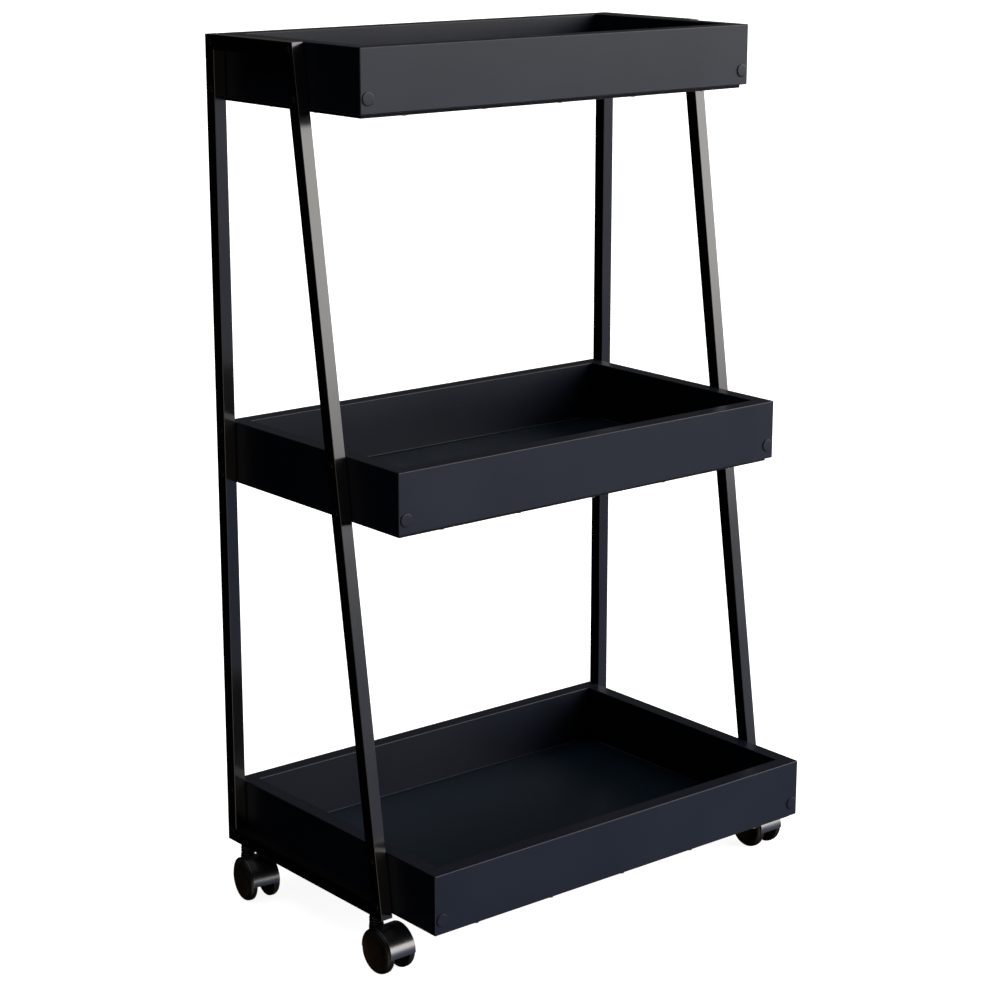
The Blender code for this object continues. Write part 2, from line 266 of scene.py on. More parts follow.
def finish(
    name, dark, light, roughness, fine, coarse=9.0, scratches=0.0, metallic=0.0, specular=0.5,
):
    """A painted or moulded finish: mottled colour, uneven gloss, fine bump and faint scratches.

    dark and light are the mottling's two colours, and roughness is the pair that goes with them.
    fine is (noise scale, stretch, bump strength, bump distance) of the surface's own texture.
    coarse is the mottling's noise scale; scratches is the roughness that they add.
    """
    material = bpy.data.materials.new(name)
    material.use_nodes = True
    tree = material.node_tree
    shader = tree.nodes["Principled BSDF"]
    shader.inputs["Metallic"].default_value = metallic
    shader.inputs["Specular IOR Level"].default_value = specular
    place = add_node(tree, "ShaderNodeTexCoord").outputs["Object"]
    scale, stretch, strength, distance = fine
    mottle = noise(tree, place, coarse, 3.0)
    grain = noise(tree, place, scale, 5.0, stretch)
    tone = remap(tree, mottle, *MOTTLE_RANGE, 0.0, 1.0)
    color = mix_colors(tree, tone, dark, light)
    tree.links.new(color, shader.inputs["Base Color"])
    gloss = remap(tree, mottle, *MOTTLE_RANGE, *roughness)
    if scratches:
        lines = noise(tree, place, SCRATCH_SCALE, 2.0, SCRATCH_STRETCH)
        marks = remap(tree, lines, *SCRATCH_RANGE, 0.0, scratches)
        total = add_node(tree, "ShaderNodeMath", operation="ADD", use_clamp=True)
        tree.links.new(gloss, total.inputs[0])
        tree.links.new(marks, total.inputs[1])
        gloss = total.outputs["Value"]
    tree.links.new(gloss, shader.inputs["Roughness"])
    add_bump(tree, shader, grain, strength, distance)
    return material


def make_materials():
    """Every finish of the trolley, by a short name."""
    # Boards and caps: a dark tone of their own, with a blue tint that is painted light, standing in
    # for the bluish bounce that they reflect.
    board_dark_painted_blue = (0.0042, 0.0062, 0.0125)
    board_light_painted_blue = (0.0058, 0.0084, 0.0165)
    return {
        "board_x": finish(
            "black_board_grain_along_x", board_dark_painted_blue, board_light_painted_blue, (0.33, 0.37),
            (900.0, (0.05, 1.0, 1.0), 0.10, 0.00005), scratches=0.03, specular=0.25,
        ),
        "board_y": finish(
            "black_board_grain_along_y", board_dark_painted_blue, board_light_painted_blue, (0.33, 0.37),
            (900.0, (1.0, 0.05, 1.0), 0.10, 0.00005), scratches=0.03, specular=0.25,
        ),
        # Floor panels: dark hardboard whose strong blue tint is painted light, standing in for the
        # bluish light that they reflect.
        "floor": finish(
            "black_hardboard_painted_blue_light", (0.0030, 0.0095, 0.0185), (0.0042, 0.0120, 0.0235), (0.32, 0.38),
            (700.0, (1.0, 1.0, 1.0), 0.12, 0.00006), scratches=0.04, specular=0.16,
        ),
        # Floor panel edges: a raw fibre tone, darkened further as painted shade for the inset edge
        # that sits in shadow.
        "shaded_panel_edge": finish(
            "fibre_edge_painted_shade", (0.0016, 0.0018, 0.0024), (0.0026, 0.0030, 0.0038), (0.60, 0.75),
            (1500.0, (0.3, 0.3, 1.0), 0.25, 0.00005), coarse=60.0, specular=0.12,
        ),
        "tube": finish(
            "black_powder_coat", (0.0048, 0.0048, 0.0054), (0.0066, 0.0066, 0.0074), (0.12, 0.16),
            (520.0, (1.0, 1.0, 1.0), 0.04, 0.00005), coarse=14.0, scratches=0.03,
        ),
        "cap": finish(
            "black_cap_plastic", board_dark_painted_blue, board_light_painted_blue, (0.33, 0.39),
            (1800.0, (1.0, 1.0, 1.0), 0.10, 0.00003), coarse=60.0, specular=0.25,
        ),
        "frame_screw": finish(
            "black_screw", (0.0016, 0.0016, 0.0018), (0.0026, 0.0026, 0.0028), (0.42, 0.52),
            (1500.0, (1.0, 1.0, 1.0), 0.10, 0.00003), coarse=80.0, specular=0.15,
        ),
        "zinc": finish(
            "bright_zinc", (0.42, 0.42, 0.43), (0.55, 0.55, 0.56), (0.30, 0.42),
            (1500.0, (1.0, 1.0, 1.0), 0.10, 0.00003), coarse=120.0, metallic=1.0,
        ),
        "black_steel": finish(
            "blackened_steel", (0.009, 0.008, 0.007), (0.016, 0.014, 0.012), (0.32, 0.42),
            (1600.0, (1.0, 0.2, 1.0), 0.12, 0.00003), coarse=120.0, metallic=0.3,
        ),
        "hood": finish(
            "gloss_black_nylon", (0.0030, 0.0034, 0.0042), (0.0042, 0.0048, 0.0058), (0.24, 0.28),
            (700.0, (1.0, 1.0, 1.0), 0.02, 0.00003), coarse=60.0, specular=1.0,
        ),
        "wheel": finish(
            "satin_dark_brown_nylon", (0.0210, 0.0135, 0.0072), (0.0270, 0.0175, 0.0095),
            (0.38, 0.46), (1400.0, (1.0, 1.0, 1.0), 0.12, 0.00004), coarse=70.0, specular=0.35,
        ),
        "tread": finish(
            "black_tread", (0.0030, 0.0026, 0.0022), (0.0046, 0.0040, 0.0034), (0.42, 0.52),
            (900.0, (1.0, 1.0, 1.0), 0.15, 0.00005), coarse=90.0, scratches=0.05, specular=0.30,
        ),
    }


MATERIALS = make_materials()


# ---------------------------------------------------------------- mesh helpers
def add_piece(name, mesh, materials, body, slot, *nodes):
    """Link a mesh as a finished piece that rides on a body and stands for CAD nodes."""
    piece = bpy.data.objects.new(name, mesh)
    bpy.context.scene.collection.objects.link(piece)
    for key in materials:
        mesh.materials.append(MATERIALS[key])
    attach(piece, body)
    if nodes:
        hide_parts(*nodes)
    return piece


def to_mesh(bm, name, smooth_angle=None, place=None):
    """Close a bmesh with outward faces; shade it smooth up to an angle."""
    bmesh.ops.recalc_face_normals(bm, faces=bm.faces)
    mesh = bpy.data.meshes.new(name)
    if place is not None:
        bmesh.ops.transform(bm, matrix=place, verts=bm.verts)
    bm.to_mesh(mesh)
    bm.free()
    if smooth_angle is not None:
        mesh.shade_smooth()
        mesh.set_sharp_from_angle(angle=math.radians(smooth_angle))
    return mesh


def keep_flats_flat(piece):
    """Give large faces the say over normals, so that roundings shade smoothly between them."""
    weighted = piece.modifiers.new("weighted_normals", "WEIGHTED_NORMAL")
    weighted.keep_sharp = True
    weighted.weight = 100


def box_bmesh(low, high, rounding=0.0, segments=1):
    """A box between two corners with rounded edges."""
    bm = bmesh.new()
    bmesh.ops.create_cube(bm, size=1.0)
    bmesh.ops.scale(bm, vec=Vector(high) - Vector(low), verts=bm.verts)
    bmesh.ops.translate(bm, vec=(Vector(high) + Vector(low)) / 2, verts=bm.verts)
    if rounding:
        bmesh.ops.bevel(
            bm, geom=list(bm.edges), offset=rounding, segments=segments, profile=0.5, affect="EDGES",
        )
    return bm


def cylinder_mesh(name, radius, start, end, segments):
    """A closed cylinder between two points as a mesh."""
    axis = Vector(end) - Vector(start)
    turn = Vector((0, 0, 1)).rotation_difference(axis).to_matrix().to_4x4()
    bm = bmesh.new()
    bmesh.ops.create_cone(
        bm, cap_ends=True, segments=segments, radius1=radius, radius2=radius, depth=axis.length,
        matrix=Matrix.Translation((Vector(start) + Vector(end)) / 2) @ turn,
    )
    return to_mesh(bm, name)


def turned_bmesh(profile, steps, start=0.0, sweep=360.0):
    """Turn a profile of (radius, height) points about Z."""
    bm = bmesh.new()
    verts = [bm.verts.new((radius, 0.0, height)) for radius, height in profile]
    edges = [bm.edges.new(pair) for pair in zip(verts, verts[1:])]
    bmesh.ops.rotate(bm, verts=verts, matrix=Matrix.Rotation(math.radians(start), 3, "Z"))
    bmesh.ops.spin(
        bm, geom=verts + edges, axis=(0, 0, 1), cent=(0, 0, 0), angle=math.radians(sweep),
        steps=steps, use_merge=sweep == 360.0,
    )
    bmesh.ops.remove_doubles(bm, verts=bm.verts, dist=0.000001)
    return bm


def arc(center, radius, start, end, steps):
    """Points of an arc as (first, second) pairs, angles in degrees from the first axis."""
    points = []
    for step in range(steps + 1):
        turn = math.radians(start + (end - start) * step / steps)
        points.append((center[0] + radius * math.cos(turn), center[1] + radius * math.sin(turn)))
    return points


def combine(mesh, helper, operation="DIFFERENCE"):
    """Cut or join a mesh with a helper mesh and return the result."""
    piece = bpy.data.objects.new("work", mesh)
    tool = bpy.data.objects.new("tool", helper)
    for item in (piece, tool):
        bpy.context.scene.collection.objects.link(item)
    step = piece.modifiers.new("combine", "BOOLEAN")
    step.operation = operation
    step.solver = "EXACT"
    step.object = tool
    graph = bpy.context.evaluated_depsgraph_get()
    result = bpy.data.meshes.new_from_object(piece.evaluated_get(graph))
    result.name = mesh.name
    for item in (piece, tool):
        bpy.data.objects.remove(item)
    return result


def middle_of(node):
    """Middle of a CAD node's box."""
    low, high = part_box(node)
    return (low + high) / 2


# ---------------------------------------------------------------- trays
def is_exposed(line, wall, low, high):
    """Whether a board's edge is open to touch, and so rounded, or butts against another board."""
    middle = (line.verts[0].co + line.verts[1].co) / 2
    if wall in SIDES:
        return low.y + SMALL_GAP < middle.y < high.y - SMALL_GAP
    inner = high.y if wall == "front" else low.y
    return abs(middle.y - inner) > SMALL_GAP or abs(middle.x) < SMALL_GAP


def build_wall(tier, wall):
    """One board of a tray with rounded edges and the drilled holes of its corner screws."""
    node = f"{tier}_tray_{wall}_wall"
    low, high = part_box(node)
    bm = box_bmesh(low, high)
    exposed = [line for line in bm.edges if is_exposed(line, wall, low, high)]
    bmesh.ops.bevel(
        bm, geom=exposed, offset=BOARD_ROUNDING, segments=BOARD_SEGMENTS, profile=0.5,
        affect="EDGES",
    )
    mesh = to_mesh(bm, f"{node}_board", 60)
    for end in ("front", "back"):
        for side in SIDES:
            screw = f"{tier}_tray_{end}_{side}_screw"
            if wall not in (end, side):
                continue
            screw_low, screw_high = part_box(screw)
            middle = (screw_low + screw_high) / 2
            drill = cylinder_mesh(
                "drill", DRILL_RADIUS, (middle.x, screw_low.y - SMALL_GAP, middle.z),
                (middle.x, screw_high.y + SMALL_GAP, middle.z), 24,
            )
            mesh = combine(mesh, drill)
    grain = "board_x" if wall in ("front", "back") else "board_y"
    keep_flats_flat(add_piece(f"{node}_board", mesh, [grain], "trolley", "board", node))


def build_floor(tier):
    """A tray's floor panel with the fine bead of paint along its joint with the walls."""
    node = f"{tier}_tray_floor"
    low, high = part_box(node)
    bm = box_bmesh(low, high, FLOOR_ROUNDING, 2)
    # The panel's edge faces take the dark edge finish: a raw fibre tone plus painted shade for the
    # shadowed inset.
    for face in bm.faces:
        if abs(face.calc_center_median().z - (low.z + high.z) / 2) < FLOOR_ROUNDING:
            face.material_index = 1
    panel = to_mesh(bm, f"{node}_panel", 60)
    keep_flats_flat(
        add_piece(f"{node}_panel", panel, ["floor", "shaded_panel_edge"], "trolley", "floor_panel", node))
    room_low = Vector((
        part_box(f"{tier}_tray_left_wall")[1].x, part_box(f"{tier}_tray_front_wall")[1].y, high.z))
    room_high = Vector((
        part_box(f"{tier}_tray_right_wall")[0].x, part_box(f"{tier}_tray_back_wall")[0].y, high.z))
    corners = [
        (room_low.x, room_low.y), (room_high.x, room_low.y),
        (room_high.x, room_high.y), (room_low.x, room_high.y),
    ]
    section = [(0.0, 0.0)] + arc((COVE_RADIUS, COVE_RADIUS), COVE_RADIUS, 270, 180, COVE_STEPS)
    bm = bmesh.new()
    rings = []
    for inset, rise in section:
        ring = []
        for x, y in corners:
            inward_x = inset if x == room_low.x else -inset
            inward_y = inset if y == room_low.y else -inset
            ring.append(bm.verts.new((x + inward_x, y + inward_y, high.z + rise)))
        rings.append(ring)
    for ring, following in zip(rings, rings[1:] + rings[:1]):
        for index in range(4):
            after = (index + 1) % 4
            bm.faces.new((ring[index], ring[after], following[after], following[index]))
    mesh = to_mesh(bm, f"{node}_bead", 60)
    add_piece(f"{node}_bead", mesh, ["floor"], "trolley", "floor_panel")


def build_corner_screw(node, end):
    """A wood screw under its round cover cap, turned about Y."""
    low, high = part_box(node)
    middle = (low + high) / 2
    radius = (high.x - low.x) / 2
    length = high.y - low.y
    top = length - CAP_THICKNESS
    profile = [(0.0, length), (radius * 0.5, length - CAP_DOME * 0.2)]
    profile.append((radius * 0.8, length - CAP_DOME))
    profile += arc(
        (radius - CAP_ROUNDING, length - CAP_DOME - CAP_ROUNDING), CAP_ROUNDING, 80, 0, 5)
    profile += [
        (radius, top + CAP_UNDERCUT), (radius - CAP_UNDERCUT, top), (SHANK_RADIUS, top),
    ]
    height = top - THREAD_PITCH * 4
    while height > THREAD_PITCH * 2:
        profile.append((SHANK_RADIUS - THREAD_DEPTH, height))
        profile.append((SHANK_RADIUS, height - THREAD_PITCH / 2))
        profile.append((SHANK_RADIUS - THREAD_DEPTH, height - THREAD_PITCH))
        height -= THREAD_PITCH
    profile.append((0.0, 0.0))
    bm = turned_bmesh(profile, 40)
    outward = -1 if end == "front" else 1
    tip = high.y if outward < 0 else low.y
    place = Matrix.Translation((middle.x, tip, middle.z))
    place = place @ Matrix.Rotation(math.radians(-90 * outward), 4, "X")
    mesh = to_mesh(bm, f"{node}_cap", SMOOTH_ANGLE, place)
    add_piece(f"{node}_cap", mesh, ["cap"], "trolley", "corner_screw", node)


def build_floor_screws(tier):
    """Small screws that hold a floor panel up against the walls, seen from below."""
    low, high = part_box(f"{tier}_tray_floor")
    outer_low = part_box(f"{tier}_tray_front_wall")[0]
    outer_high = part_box(f"{tier}_tray_back_wall")[1]
    left, right = outer_low.x + FLOOR_SCREW_INSET, outer_high.x - FLOOR_SCREW_INSET
    front, back = outer_low.y + FLOOR_SCREW_INSET, outer_high.y - FLOOR_SCREW_INSET
    places = []
    for count in range(FLOOR_SCREWS_ACROSS):
        x = left + (right - left) * (count + 0.5) / FLOOR_SCREWS_ACROSS
        places += [(x, front), (x, back)]
    for count in range(FLOOR_SCREWS_DEEP):
        y = front + (back - front) * (count + 1) / (FLOOR_SCREWS_DEEP + 1)
        places += [(left, y), (right, y)]
    bm = bmesh.new()
    for x, y in places:
        place = Matrix.Translation((x, y, low.z)) @ Matrix.Rotation(math.pi, 4, "X")
        add_button(bm, place, FLOOR_SCREW_RADIUS, FLOOR_SCREW_HEIGHT)
    mesh = to_mesh(bm, f"{tier}_floor_screws", SMOOTH_ANGLE)
    add_piece(f"{tier}_floor_screws", mesh, ["zinc"], "trolley", "caster_steel")


def add_button(bm, place, radius, height):
    """A low domed screw head with a six-sided socket, standing on a face."""
    socket = radius * HEAD_SOCKET
    sphere = HEAD_DOME_SPHERE * height
    profile = arc((0.0, height - sphere), sphere, 90, 0, 6)
    dome = [(x / sphere * radius, max(y, 0.0)) for x, y in profile if x > 0]
    lower = hexagon_ring(bm, place, socket, height * HEAD_SOCKET_FLOOR)
    bm.faces.new(lower)
    rings = [hexagon_ring(bm, place, socket, height * HEAD_SOCKET_RIM)]
    for ring_radius, level in dome:
        if ring_radius > socket * HEAD_SOCKET_LAND:
            rings.append(round_ring(bm, place, ring_radius, level))
    rings.append(round_ring(bm, place, radius, -HEAD_SKIRT))
    for ring in rings:
        join_rings(bm, lower, ring)
        lower = ring
    bm.faces.new(lower)


def round_ring(bm, place, radius, level):
    """Points of a circle."""
    points = []
    for step in range(HEAD_POINTS):
        turn = math.tau * step / HEAD_POINTS
        spot = place @ Vector((radius * math.cos(turn), radius * math.sin(turn), level))
        points.append(bm.verts.new(spot))
    return points


def hexagon_ring(bm, place, radius, level):
    """Points round a hexagon."""
    points = []
    for step in range(HEAD_POINTS):
        turn = math.tau * step / HEAD_POINTS
        across = radius * math.cos(math.pi / 6) / math.cos((turn % (math.pi / 3)) - math.pi / 6)
        spot = place @ Vector((across * math.cos(turn), across * math.sin(turn), level))
        points.append(bm.verts.new(spot))
    return points


def join_rings(bm, first, second):
    """Quads between two rings of the same number of points."""
    for index in range(len(first)):
        after = (index + 1) % len(first)
        bm.faces.new((first[index], first[after], second[after], second[index]))


# ---------------------------------------------------------------- side frames
def frame_corners(side):
    """Outer corners of a side frame as (y, z): post foot, post top, leg top, leg foot."""
    post_low, post_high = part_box(f"{side}_rear_post")
    top_low, top_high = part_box(f"{side}_top_rail")
    foot_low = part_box(f"{side}_bottom_rail")[0]
    trim = post_low.z - foot_low.z
    return (
        (post_high.y, foot_low.z),
        (post_high.y, top_high.z),
        (top_low.y - trim, top_high.z),
        (foot_low.y - trim, foot_low.z),
    )


def corner_at(outline, index, inset):
    """A corner of the outline moved inwards, where the two inset sides meet."""
    here = Vector(outline[index])
    before = (here - Vector(outline[index - 1])).normalized()
    after = (Vector(outline[(index + 1) % len(outline)]) - here).normalized()
    inward_before = Vector((-before.y, before.x))
    inward_after = Vector((-after.y, after.x))
    middle = (inward_before + inward_after).normalized()
    return here + middle * (inset / middle.dot(inward_before))


def tube_section(width, low, high, rounding):
    """A rounded rectangle as (x, inset) points, going round."""
    half = width / 2
    section = []
    for x, y, start in (
        (half - rounding, high - rounding, 0), (-half + rounding, high - rounding, 90),
        (-half + rounding, low + rounding, 180), (half - rounding, low + rounding, 270),
    ):
        section += arc((x, y), rounding, start, start + 90, TUBE_CORNER_STEPS)
    return section


def build_tube(side, index, name):
    """One hollow tube of a side frame between its two mitres, with rounded edges."""
    node = f"{side}_{name}"
    outline = frame_corners(side)
    low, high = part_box(f"{side}_rear_post")
    width, depth = high.x - low.x, high.y - low.y
    middle_x = (low.x + high.x) / 2
    following = (index + 1) % 4
    along = (Vector(outline[following]) - Vector(outline[index])).normalized()
    bm = bmesh.new()
    loops = []
    sections = (
        tube_section(width, 0.0, depth, TUBE_ROUNDING),
        tube_section(width - 2 * TUBE_WALL, TUBE_WALL, depth - TUBE_WALL, TUBE_ROUNDING / 2),
    )
    for section in sections:
        for corner, sign in ((index, 1), (following, -1)):
            ring = []
            for x, inset in section:
                spot = corner_at(outline, corner, inset) + along * (SEAM * sign)
                ring.append(bm.verts.new((middle_x + x, *spot)))
            loops.append(ring)
    outer_start, outer_end, inner_start, inner_end = loops
    join_rings(bm, outer_start, outer_end)
    join_rings(bm, inner_start, inner_end)
    join_rings(bm, outer_start, inner_start)
    join_rings(bm, outer_end, inner_end)
    mesh = to_mesh(bm, f"{node}_tube", 40)
    if name == "bottom_rail":
        for end in ENDS:
            spot = middle_of(f"{end}_{side}_caster_insert")
            mesh = combine(mesh, cylinder_mesh(
                "hole", INSERT_HOLE_RADIUS, (spot.x, spot.y, outline[0][1] - TUBE_WALL),
                (spot.x, spot.y, outline[0][1] + 2 * TUBE_WALL), 40,
            ))
    keep_flats_flat(add_piece(f"{node}_tube", mesh, ["tube"], "trolley", "frame_tube", node))


def build_frame_screws(side):
    """Button screws through the frame's tubes into the trays' side walls, two at each crossing."""
    outline = frame_corners(side)
    low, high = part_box(f"{side}_rear_post")
    depth = high.y - low.y
    outer_x = low.x if SIDES[side] < 0 else high.x
    turn = Matrix.Rotation(math.radians(90 * SIDES[side]), 4, "Y")
    for tube, corner in (("rear_post", 0), ("front_leg", 2)):
        start = corner_at(outline, corner, depth / 2)
        end = corner_at(outline, corner + 1, depth / 2)
        bm = bmesh.new()
        for tier in TIERS:
            wall_low, wall_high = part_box(f"{tier}_tray_{side}_wall")
            for z in (wall_low.z + FRAME_SCREW_FROM_EDGE, wall_high.z - FRAME_SCREW_FROM_EDGE):
                share = (z - start.y) / (end.y - start.y)
                y = start.x + (end.x - start.x) * share
                place = Matrix.Translation((outer_x, y, z)) @ turn
                add_button(bm, place, FRAME_SCREW_RADIUS, FRAME_SCREW_HEIGHT)
        name = f"{side}_{tube}_screws"
        mesh = to_mesh(bm, name, SMOOTH_ANGLE)
        add_piece(name, mesh, ["frame_screw"], "trolley", "corner_screw")


# ---------------------------------------------------------------- casters
def caster_place(name):
    """Matrix from a caster's own frame, swivel axis at the origin and wheels towards -Y."""
    joints = {joint["name"]: joint for joint in frame["joints"]}
    spot = Vector(joints[f"{name}_turn"]["pos_m"])
    axis = joints[f"{name}_left_wheel_spin"]["axis"]
    return Matrix.Translation((spot.x, spot.y, 0.0)) @ Matrix.Rotation(
        math.atan2(axis[1], axis[0]), 4, "Z")


def build_insert(name, place):
    """Threaded insert in the rail: a chamfered flange below and a sleeve above."""
    node = f"{name}_insert"
    low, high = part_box(node)
    flange = (high.x - low.x) / 2
    sleeve = INSERT_HOLE_RADIUS - SMALL_GAP
    bore = STEM_RADIUS + SMALL_GAP
    seat = low.z + INSERT_FLANGE
    profile = [
        (sleeve - INSERT_SLEEVE_CHAMFER, high.z), (sleeve, high.z - INSERT_SLEEVE_CHAMFER),
        (sleeve, seat), (flange, seat),
        (flange, low.z + INSERT_FLANGE_CHAMFER), (flange - INSERT_FLANGE_CHAMFER, low.z),
        (bore, low.z), (bore, high.z), (sleeve - INSERT_SLEEVE_CHAMFER, high.z),
    ]
    mesh = to_mesh(turned_bmesh(profile, 48), f"{name}_threaded_insert", SMOOTH_ANGLE, place)
    add_piece(f"{name}_threaded_insert", mesh, ["black_steel"], "trolley", "caster_steel", node)


def build_stem(name, place):
    """Caster stem with its collar of rounded rings."""
    node = f"{name}_stem"
    low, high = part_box(node)
    ring_radius = (high.x - low.x) / 2
    collar_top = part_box(f"{name}_insert")[0].z - SMALL_GAP
    pitch = (collar_top - COLLAR_FOOT_Z) / COLLAR_RINGS
    bulge = pitch * COLLAR_BULGE
    groove = ring_radius - COLLAR_GROOVE * bulge
    profile = [(0.0, high.z), (STEM_RADIUS - STEM_TIP_INSET, high.z)]
    profile += [(STEM_RADIUS, high.z - STEM_TIP_HEIGHT), (STEM_RADIUS, collar_top)]
    for count in range(COLLAR_RINGS):
        center = (ring_radius - bulge, collar_top - pitch * (count + 0.5))
        profile.append((groove, center[1] + bulge))
        profile += arc(center, bulge, 80, -80, 8)
        profile.append((groove, center[1] - bulge))
    profile += [(STEM_RADIUS, COLLAR_FOOT_Z), (STEM_RADIUS, low.z), (0.0, low.z)]
    mesh = to_mesh(turned_bmesh(profile, 64), f"{name}_ribbed_stem", 50, place)
    add_piece(f"{name}_ribbed_stem", mesh, ["black_steel"], "trolley", "caster_steel", node)


def hood_section(half, web, room):
    """Section of a hood as (radius, place along the axle): the web and the fender's two lips."""
    core = HUB_RADIUS * HUB_CORE
    edge = HOOD_ROUNDING
    section = [(core, -web), (room - HOOD_FILLET, -web), (room, -web - HOOD_FILLET)]
    section += [(room, -half + HOOD_LIP_DEPTH), (room + HOOD_LIP_RISE, -half)]
    section += arc((HOOD_RADIUS - edge, -half + edge), edge, 270, 360, 5)
    section += arc((HOOD_RADIUS - edge, half - edge), edge, 0, 90, 5)
    section += [(room + HOOD_LIP_RISE, half), (room, half - HOOD_LIP_DEPTH)]
    section += [(room, web + HOOD_FILLET), (room - HOOD_FILLET, web), (core, web), (core, -web)]
    return section


def hood_mesh(name, trail, axle_z):
    """Moulded hood: a fender over both wheels, the web between them and the stem's boss."""
    half, web, room = HOOD_WIDTH / 2, HOOD_WEB / 2, HOOD_RADIUS - HOOD_WALL
    bm = turned_bmesh(
        hood_section(half, web, room), 72, start=-HOOD_HALF_SWEEP, sweep=2 * HOOD_HALF_SWEEP)
    ends = [line for line in bm.edges if line.is_boundary]
    bmesh.ops.contextual_create(bm, geom=ends)
    bmesh.ops.holes_fill(bm, edges=[line for line in bm.edges if line.is_boundary], sides=0)
    lay = Matrix.Translation((0, -trail, axle_z)) @ Matrix(
        ((0, 0, 1, 0), (0, -1, 0, 0), (1, 0, 0, 0), (0, 0, 0, 1)))
    mesh = to_mesh(bm, name, None, lay)
    hub = cylinder_mesh("hub", HUB_RADIUS, (-web, -trail, axle_z), (web, -trail, axle_z), 64)
    mesh = combine(mesh, hub, "UNION")
    boss_top = COLLAR_FOOT_Z + BOSS_OVERLAP
    boss = cylinder_mesh("boss", BOSS_RADIUS, (0, 0, BOSS_FOOT_Z), (0, 0, boss_top), 64)
    mesh = combine(mesh, boss, "UNION")
    for sign in SIDES.values():
        mesh = combine(mesh, cylinder_mesh(
            "wheel_room", room - WHEEL_ROOM_EASE,
            (sign * (web + WHEEL_ROOM_STEP), -trail, axle_z), (sign * HOOD_WIDTH, -trail, axle_z), 96,
        ))
    for radius, foot, sides in (
        (COLLAR_ROOM_RADIUS, COLLAR_FOOT_Z - SMALL_GAP, 64),
        (STEM_RADIUS + SMALL_GAP, STEM_SEAT_Z, 32),
    ):
        mesh = combine(mesh, cylinder_mesh("room", radius, (0, 0, foot), (0, 0, CUTTER_TOP_Z), sides))
    mesh = combine(mesh, cylinder_mesh(
        "axle_bore", AXLE_BORE_RADIUS, (-half, -trail, axle_z), (half, -trail, axle_z), 32))
    return mesh


def build_hood(name, place):
    """A caster's hood in gloss nylon with lightly broken edges."""
    node = f"{name}_hood"
    axle = place.inverted() @ middle_of(f"{name}_axle")
    mesh = hood_mesh(f"{name}_moulded_hood", -axle.y, axle.z)
    mesh.transform(place)
    mesh.shade_smooth()
    mesh.set_sharp_from_angle(angle=math.radians(SMOOTH_ANGLE))
    hood = add_piece(f"{name}_moulded_hood", mesh, ["hood"], f"{name}_swivel", "caster_hood", node)
    bevel = hood.modifiers.new("broken_edges", "BEVEL")
    bevel.width = HOOD_BROKEN_EDGE
    bevel.segments = 2
    bevel.limit_method = "ANGLE"
    bevel.angle_limit = math.radians(40)
    bevel.use_clamp_overlap = True
    keep_flats_flat(hood)


def build_wheel(name, wheel_side, place):
    """One wheel: a shallow dished disc, a round shouldered tread and a hollow towards the web."""
    node = f"{name}_{wheel_side}_wheel"
    low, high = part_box(node)
    axle = place.inverted() @ middle_of(f"{name}_axle")
    radius = (high.z - low.z) / 2
    face = WHEEL_FACE
    inner = WHEEL_INNER
    shoulder = WHEEL_SHOULDER
    disc = [(0.0, face - WHEEL_DISH), (WHEEL_DISH_RADIUS, face - WHEEL_DISH)]
    rim = arc((radius - shoulder, face - shoulder), shoulder, 90, 4, 12)
    rim += [
        (radius, face - shoulder - WHEEL_OUTER_FLAT),
        (radius, inner + WHEEL_INNER_ROUNDING + WHEEL_INNER_FLAT),
    ]
    rim += arc(
        (radius - WHEEL_INNER_ROUNDING, inner + WHEEL_INNER_ROUNDING), WHEEL_INNER_ROUNDING,
        0, -90, 5,
    )
    pocket = inner + WHEEL_POCKET
    pocket_rim = radius - WHEEL_POCKET_RIM
    bore_end = face - WHEEL_BORE_END
    hollow = [
        (pocket_rim, inner), (pocket_rim - WHEEL_POCKET_DRAFT, pocket),
        (WHEEL_POCKET_HUB + WHEEL_POCKET_DRAFT, pocket), (WHEEL_POCKET_HUB, inner),
        (AXLE_BORE_RADIUS, inner), (AXLE_BORE_RADIUS, bore_end), (0.0, bore_end),
    ]
    bm = turned_bmesh(disc + rim + hollow, 96)
    for patch in bm.faces:
        middle = patch.calc_center_median()
        if math.hypot(middle.x, middle.y) > radius - TREAD_SHARE * shoulder:
            patch.material_index = 1
    lay = Matrix.Translation((0, axle.y, axle.z)) @ Matrix.Rotation(
        math.radians(90 * SIDES[wheel_side]), 4, "Y")
    mesh = to_mesh(bm, f"{node}_turned", 32, place @ lay)
    add_piece(f"{node}_turned", mesh, ["wheel", "tread"], node, "caster_wheel", node)


def build_caster(name):
    """All visible pieces of one twin-wheel caster."""
    place = caster_place(name)
    build_insert(name, place)
    build_stem(name, place)
    build_hood(name, place)
    for wheel_side in SIDES:
        build_wheel(name, wheel_side, place)
    axle = frame["nodes"][f"{name}_axle"]
    axle.data.materials.clear()
    axle.data.materials.append(MATERIALS["zinc"])


